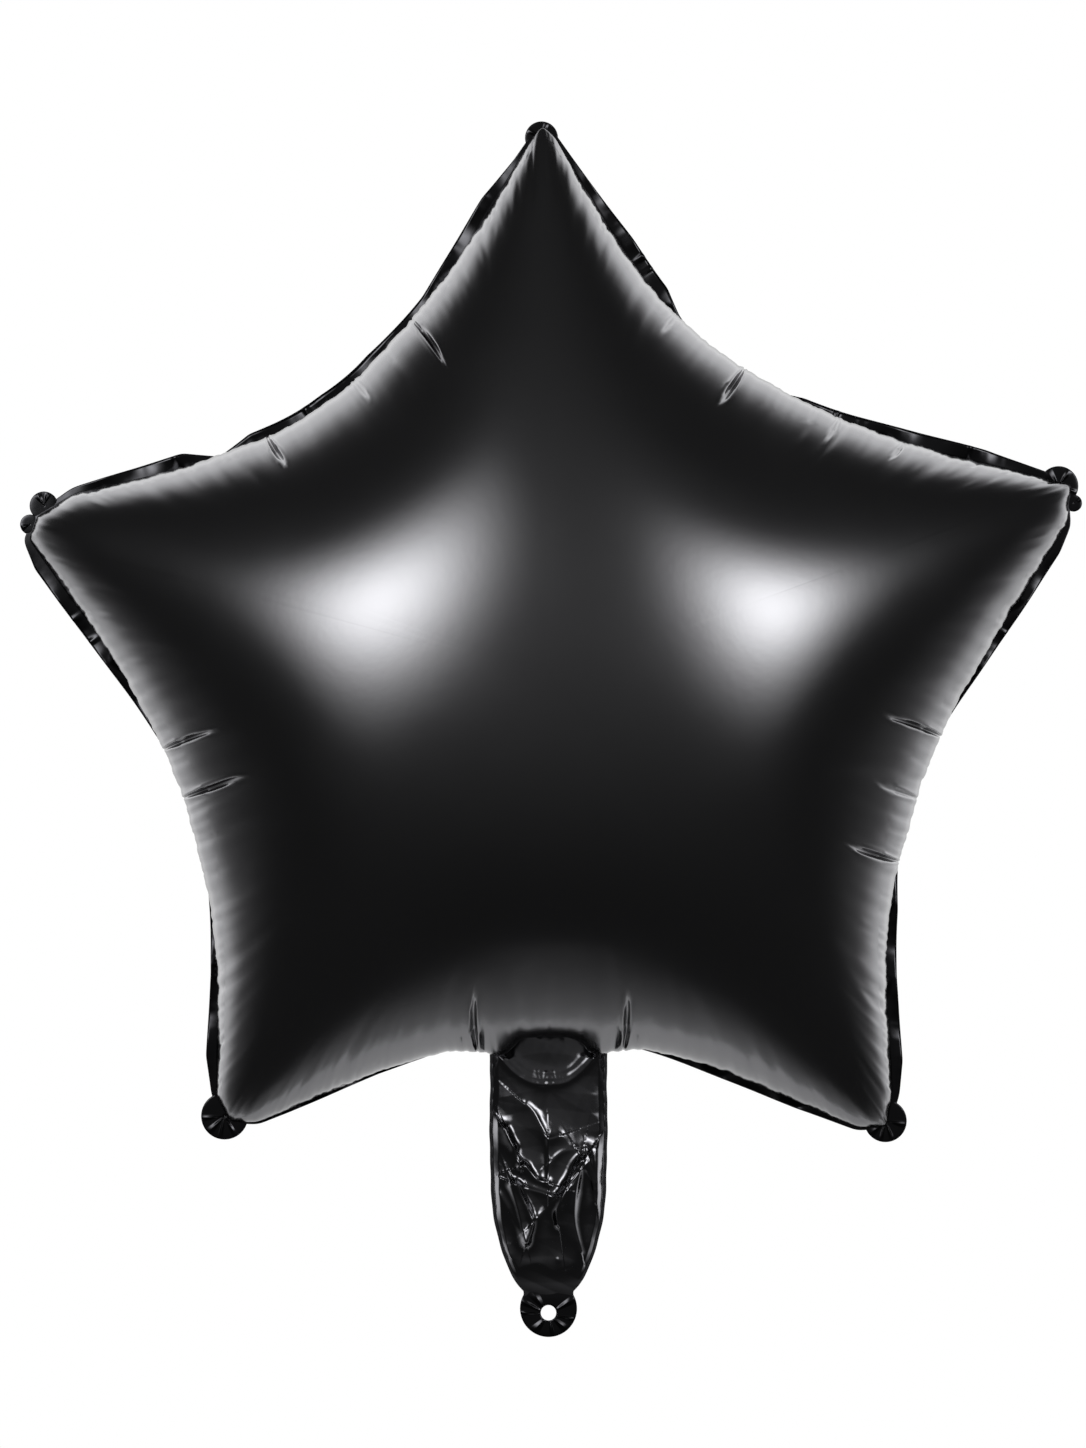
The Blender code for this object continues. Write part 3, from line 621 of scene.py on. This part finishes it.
def foldHeight(x, z, folds):
    # each fold has a finely rounded crest and two flanks that fall away evenly to nothing
    out = np.zeros(x.shape)
    for height, toRight, toLeft, path in folds:
        curve = smoothPath(path) * mm
        gap = np.full(x.shape, 1.0)
        side = np.zeros(x.shape)
        for start, end in zip(curve, curve[1:]):
            run = end - start
            part = np.clip(((x - start[0]) * run[0] + (z - start[1]) * run[1]) / (run @ run), 0, 1)
            offX, offZ = x - start[0] - part * run[0], z - start[1] - part * run[1]
            nearer = np.hypot(offX, offZ) < gap
            gap = np.where(nearer, np.hypot(offX, offZ), gap)
            side = np.where(nearer, run[0] * offZ - run[1] * offX, side)
        fall = np.maximum(np.where(side < 0, toRight, toLeft) * mm, tail["fallLeast"])
        out += height * mm * np.exp(-(np.hypot(gap, tail["crest"]) - tail["crest"]) / fall)
    return out


def crumpledFilm(x, z, rng, size, depth):
    # straight creases with flat film between: waves with sharp crests that cross at many angles
    out = np.zeros(x.shape)
    warpX = x + tail["warp"] * np.sin(z / tail["warpAlong"] + rng.uniform(0, turn))
    warpZ = z + tail["warp"] * np.sin(x / tail["warpAcross"] + rng.uniform(0, turn))
    for _ in range(tail["crumpleWaves"]):
        angle = rng.uniform(0, math.pi)
        wave = size * rng.uniform(0.7, 1.7)
        phase = (warpX * math.cos(angle) + warpZ * math.sin(angle)) / wave + rng.uniform(0, 1)
        out += np.abs((phase % 1) - 0.5) * 2 * depth / tail["crumpleWaves"]
    return out


def tailHalfWidth(z):
    part = np.clip((tail["taperZ"] - z) / tail["taperLength"], 0, 1)
    return np.maximum(tail["halfWidth"] * np.sqrt(1 - part ** tail["taperPower"]), tail["stripHalfWidth"])


def makeTail(material):
    rng = np.random.default_rng(tail["seed"])
    z = np.linspace(tail["topZ"], tail["bottomZ"], tail["rows"])[:, None] * np.ones((1, tail["columns"]))
    half = tailHalfWidth(z)
    for stray, wave, start in tail["edgeWaves"]:
        half = half + stray * mm * np.sin(z / (wave * mm) + start)
    u = np.linspace(-1, 1, tail["columns"])
    x = half * u
    band = half - tail["sealBand"]
    inside = np.clip(1 - (np.abs(x) / band) ** 4, 0, 1)
    low = np.clip((z - tail["flatBelowZ"]) / tail["swellLength"], 0, 1)
    free = np.minimum(inside * tail["foldsRise"], 1) * ease(low * tail["foldsRise"])
    puff = tail["puff"] * inside * low
    full = ease((z - tail["sealLowZ"]) / tail["sealLowOver"])
    thin = tail["sealHalfLow"] + (tail["sealHalf"] - tail["sealHalfLow"]) * full
    along, across = tail["crimpWaves"]
    crimp = tail["crimpDepth"] * np.abs(np.sin(z / along + x / across)) * (1 - free)
    mirrored = [(h, left, right, tuple((-px, pz) for px, pz in path)) for h, right, left, path in tailFolds]
    sheets = []
    for side, folds in ((-1, tailFolds), (1, mirrored)):
        crushed = foldHeight(x, z, folds) * tail["foldShare"]
        for size, depth in tail["crumples"]:
            crushed = crushed + crumpledFilm(x, z, rng, size * mm, depth * mm)
        lift = puff + crushed * free + crimp
        sheets.append(np.stack([x, side * (thin + lift), z], 2))
    rows, columns = x.shape
    front = np.arange(rows * columns).reshape(rows, columns)
    back = front + rows * columns
    faces = [np.stack([front[:-1, :-1], front[1:, :-1], front[1:, 1:], front[:-1, 1:]], 2).reshape(-1, 4)]
    faces.append(np.stack([back[:-1, :-1], back[:-1, 1:], back[1:, 1:], back[1:, :-1]], 2).reshape(-1, 4))
    loop = np.concatenate([front[:, 0], front[-1, 1:], front[-2::-1, -1], front[0, -2:0:-1]])
    after = np.roll(loop, -1)
    shift = rows * columns
    faces.append(np.stack([loop, loop + shift, after + shift, after], 1))
    points = np.concatenate([sheet.reshape(-1, 3) for sheet in sheets])
    uv = np.stack([points[:, 0], points[:, 2]], 1)
    return makePiece("fillingTail", points, np.concatenate(faces), material, uv)


endTab = {
    "radius": 11.4 * mm,
    "centre": (0, 1.7 * mm),
    "holeRadius": 3.1 * mm,
    "thickness": 0.8 * mm,
    "streaks": ((112, 5), (138, 11), (171, 6), (214, 13), (262, 5), (286, 8), (318, 15), (68, 10)),
    "streakHeight": 0.55 * mm,
    "flatFromZ": 5 * mm,  # from here up it thins out into the tail
    "flatOver": 5 * mm,
    "flatShare": 0.9,  # how much of its thickness and folds is gone at the top
    "around": 240,
    "rings": 26,
}


def makeEndTab(material):
    front, back = discRows(endTab, endTab["centre"], endTab["radius"], (0, 0), endTab["streaks"])
    points, faces = discFaces(front, back, 0)
    points[:, 1] *= 1 - endTab["flatShare"] * ease((points[:, 2] - endTab["flatFromZ"]) / endTab["flatOver"])
    uv = np.stack([points[:, 0], points[:, 2]], 1)
    return makePiece("endTab", points, faces, material, uv)


# Materials

def newMaterial(name):
    material = bpy.data.materials.new(name)
    material.use_nodes = True
    return material, material.node_tree, material.node_tree.nodes["Principled BSDF"]


def printedFilm():
    # black lacquer over metallised film, blown tight: a dark mirror with a satin haze that softens the lamps
    material, tree, shader = newMaterial("lacqueredMetallisedFilm")
    shader.inputs["Base Color"].default_value = linearColour("#6c6c6e")
    shader.inputs["Metallic"].default_value = 1.0
    place = addNode(tree, "ShaderNodeTexCoord")
    # the haze is a little uneven, in patches of about 40 mm
    patches = addNode(tree, "ShaderNodeTexNoise", Vector=place.outputs["Object"], Scale=1 / (40 * mm), Detail=3.0)
    rough = addNode(tree, "ShaderNodeMapRange", Value=patches.outputs["Fac"], To_Min=0.17, To_Max=0.22)
    tree.links.new(rough.outputs["Result"], shader.inputs["Roughness"])
    # the real grain is finer than a pixel, so it is drawn at 4 mm
    grain = addNode(tree, "ShaderNodeTexNoise", Vector=place.outputs["Object"], Scale=1 / (3.85 * mm), Detail=4.0)
    bump = addNode(tree, "ShaderNodeBump", Height=grain.outputs["Fac"], Strength=0.06, Distance=0.2 * mm)
    tree.links.new(bump.outputs["Normal"], shader.inputs["Normal"])
    return material


def sealedFilm():
    # two films pressed together hot: the seal flattens them, so they are glossy, with fine crimps
    material, tree, shader = newMaterial("heatSealedFilm")
    # its base is darker than the same film's on the body and tail: painted shade, so that the flat seal, the tip
    # tabs and the end tab render as dim as the flange looked
    shader.inputs["Base Color"].default_value = linearColour("#363638")
    shader.inputs["Metallic"].default_value = 1.0
    shader.inputs["Roughness"].default_value = 0.14
    place = addNode(tree, "ShaderNodeTexCoord")
    # the seal's crimps are about 7 mm across
    crinkle = addNode(tree, "ShaderNodeTexNoise", Vector=place.outputs["Object"], Scale=1 / (7.14 * mm),
                      Detail=2.0)
    bump = addNode(tree, "ShaderNodeBump", Height=crinkle.outputs["Fac"], Strength=0.12, Distance=0.5 * mm)
    tree.links.new(bump.outputs["Normal"], shader.inputs["Normal"])
    return material


def crumpledTail():
    # thin unstretched film, crushed by hand: mirror gloss broken up into small bright facets
    material, tree, shader = newMaterial("crumpledGlossFilm")
    shader.inputs["Base Color"].default_value = linearColour("#6a6a6d")
    shader.inputs["Metallic"].default_value = 1.0
    shader.inputs["Roughness"].default_value = 0.13
    place = addNode(tree, "ShaderNodeTexCoord")
    # the dents left by the hand are about 5.5 mm across
    ripple = addNode(tree, "ShaderNodeTexNoise", Vector=place.outputs["Object"], Scale=1 / (5.56 * mm),
                     Detail=2.0)
    bump = addNode(tree, "ShaderNodeBump", Height=ripple.outputs["Fac"], Strength=0.15, Distance=0.5 * mm)
    tree.links.new(bump.outputs["Normal"], shader.inputs["Normal"])
    return material


# Studio

studio = {
    "cameraAt": (-0.0022, -2.0, 0.2355),
    "lensMm": 124.3,
    "keyAt": (-28.0, 16.2),  # degrees round from straight ahead, and up
    "fillAt": (34.4, 12.4),
    "boxDistance": 1.5,
    "keySize": (1.08, 1.45),  # the glow has faded to about nothing at this edge
    "fillSize": (0.86, 1.30),
    "keyTurnDeg": -24,
    "fillTurnDeg": 28,
    "keyLevel": 8.0,  # radiance in the middle of the box
    "fillLevel": 8.5,
    "glowHalfAt": 0.20,  # share of the box's size at which its glow is down to half
    "aimAt": (0, 0, 0.26),  # what the boxes face
    "floorAt": (0, 0.80, -0.30),
    "floorRadius": 0.80,
    "hideBoxes": True,  # they reach into the view, and only their glow is wanted
}

# The room as the film mirrors it: name, level, then the ramps that fade it. A ramp takes how far a ray points
# along a direction, goes over that range from one share of the level to another, and is raised to a power.
room = (
    ("all round", 0.035, ()),
    # the backdrop is lit to wash out as white; it dims toward the ground, and straight behind, where a darker
    # patch leaves the rim a crisp edge
    ("backdrop", 1.9, (
        ((0, 1, 0), "SMOOTHSTEP", (-0.06, 0.40), (0, 1), 1),
        ((0, 0, 1), "LINEAR", (-0.7, 0.3), (0.25, 1.3), 1),
        ((0, 1, 0), "SMOOTHSTEP", (0.70, 0.96), (1, 0.35), 1),
    )),
    ("low side walls", 0.35, (
        ((0, 1, 0), "SMOOTHSTEP", (-0.40, 0.25), (0, 1), 1),
        ((0, 0, 1), "SMOOTHSTEP", (0.45, 0), (0, 1), 1),
    )),
    ("glow from below", 0.22, (((0, 0.22, -0.975), "SMOOTHSTEP", (0.76, 0.98), (0, 1), 1),)),
    ("glow above the camera", 0.13, (((0, -0.94, 0.342), "LINEAR", (0, 1), (0, 1), 5),)),
)


def makeWorld():
    world = bpy.data.worlds.new("studioRoom")
    bpy.context.scene.world = world
    world.use_nodes = True
    tree = world.node_tree
    tree.nodes.clear()
    ray = addNode(tree, "ShaderNodeTexCoord").outputs["Generated"]
    total = 0.0
    for name, level, ramps in room:
        share = level
        for direction, kind, span, shares, power in ramps:
            along = addNode(tree, "ShaderNodeVectorMath", {"operation": "DOT_PRODUCT"}, in0=ray, in1=direction)
            ramp = addNode(tree, "ShaderNodeMapRange", {"interpolation_type": kind}, Value=along.outputs["Value"],
                           From_Min=span[0], From_Max=span[1], To_Min=shares[0], To_Max=shares[1])
            curve = addNode(tree, "ShaderNodeMath", {"operation": "POWER"}, in0=ramp.outputs["Result"], in1=power)
            share = addNode(tree, "ShaderNodeMath", {"operation": "MULTIPLY"}, in0=curve.outputs["Value"],
                            in1=share).outputs["Value"]
        total = addNode(tree, "ShaderNodeMath", {"operation": "ADD"}, in0=total, in1=share).outputs["Value"]
    mirrored = addNode(tree, "ShaderNodeBackground", Color=(1, 1, 1, 1), Strength=total)
    # the camera itself sees a white backdrop
    white = addNode(tree, "ShaderNodeBackground", Color=(1, 1, 1, 1), Strength=1.0)
    path = addNode(tree, "ShaderNodeLightPath")
    mix = addNode(tree, "ShaderNodeMixShader", in0=path.outputs["Is Camera Ray"],
                  in1=mirrored.outputs["Background"], in2=white.outputs["Background"])
    addNode(tree, "ShaderNodeOutputWorld", Surface=mix.outputs["Shader"])
    print("room:", ", ".join(name for name, level, ramps in room))


def addSoftbox(name, at, size, turnDeg, level):
    azimuth, rise = (math.radians(v) for v in at)
    run = math.cos(rise)
    direction = np.array([math.sin(azimuth) * run, -math.cos(azimuth) * run, math.sin(rise)])
    light = bpy.data.lights.new(name, "AREA")
    light.shape = "ELLIPSE"
    light.size, light.size_y = size
    area = math.pi * size[0] * size[1] / 4
    light.energy = level * math.pi * area  # watts for that radiance
    light.use_nodes = True
    tree = light.node_tree
    emission = tree.nodes["Emission"]
    # brightest in the middle of the cloth, fading to its edge
    place = addNode(tree, "ShaderNodeNewGeometry")
    middle = addNode(tree, "ShaderNodeVectorMath", {"operation": "DISTANCE"}, in0=place.outputs["Parametric"],
                     in1=(0.5, 0.5, 0))
    halves = addNode(tree, "ShaderNodeMath", {"operation": "DIVIDE"}, in0=middle.outputs["Value"],
                     in1=studio["glowHalfAt"])
    square = addNode(tree, "ShaderNodeMath", {"operation": "POWER"}, in0=halves.outputs["Value"], in1=2.0)
    glow = addNode(tree, "ShaderNodeMath", {"operation": "POWER"}, in0=0.5, in1=square.outputs["Value"])
    tree.links.new(glow.outputs["Value"], emission.inputs["Strength"])
    lamp = bpy.data.objects.new(name, light)
    lamp.location = np.array(studio["aimAt"]) + direction * studio["boxDistance"]
    lamp.rotation_mode = "QUATERNION"
    facing = Vector(direction).to_track_quat("Z", "Y")
    lamp.rotation_quaternion = facing @ Quaternion((0, 0, 1), math.radians(turnDeg))
    lamp.visible_camera = not studio["hideBoxes"]
    bpy.context.scene.collection.objects.link(lamp)
    print(name, "level", level)


def makeFloor():
    bpy.ops.mesh.primitive_circle_add(vertices=96, radius=studio["floorRadius"], fill_type="NGON",
                                      location=studio["floorAt"])
    floor = bpy.context.object
    floor.name = "studioFloor"
    material, tree, shader = newMaterial("mattWhiteFloor")
    shader.inputs["Base Color"].default_value = linearColour("#f4f4f4")
    shader.inputs["Roughness"].default_value = 0.9
    floor.data.materials.append(material)


def makeCamera():
    camera = bpy.data.objects.new("camera", bpy.data.cameras.new("camera"))
    camera.location = studio["cameraAt"]
    camera.rotation_euler = (math.radians(90), 0, 0)
    camera.data.lens = studio["lensMm"]
    bpy.context.scene.collection.objects.link(camera)
    bpy.context.scene.camera = camera


makeCamera()
seam = makeSeam()
print("seam length", round(seam["total"], 4), "star centre height", round(seam["centreZ"], 4))
bodyFilm = printedFilm()
edgeFilm = sealedFilm()
tailFilm = crumpledTail()
makePanel("frontPanel", seam, -1, film["frontSeed"], bodyFilm)
makePanel("backPanel", seam, 1, film["backSeed"], bodyFilm)
makeFlange(seam, edgeFilm)
makeTipTabs(seam, edgeFilm)
makeTail(tailFilm)
makeEndTab(edgeFilm)
makeWorld()
makeFloor()
addSoftbox("keySoftbox", studio["keyAt"], studio["keySize"], studio["keyTurnDeg"], studio["keyLevel"])
addSoftbox("fillSoftbox", studio["fillAt"], studio["fillSize"], studio["fillTurnDeg"], studio["fillLevel"])
bpy.context.scene.view_settings.view_transform = "Standard"
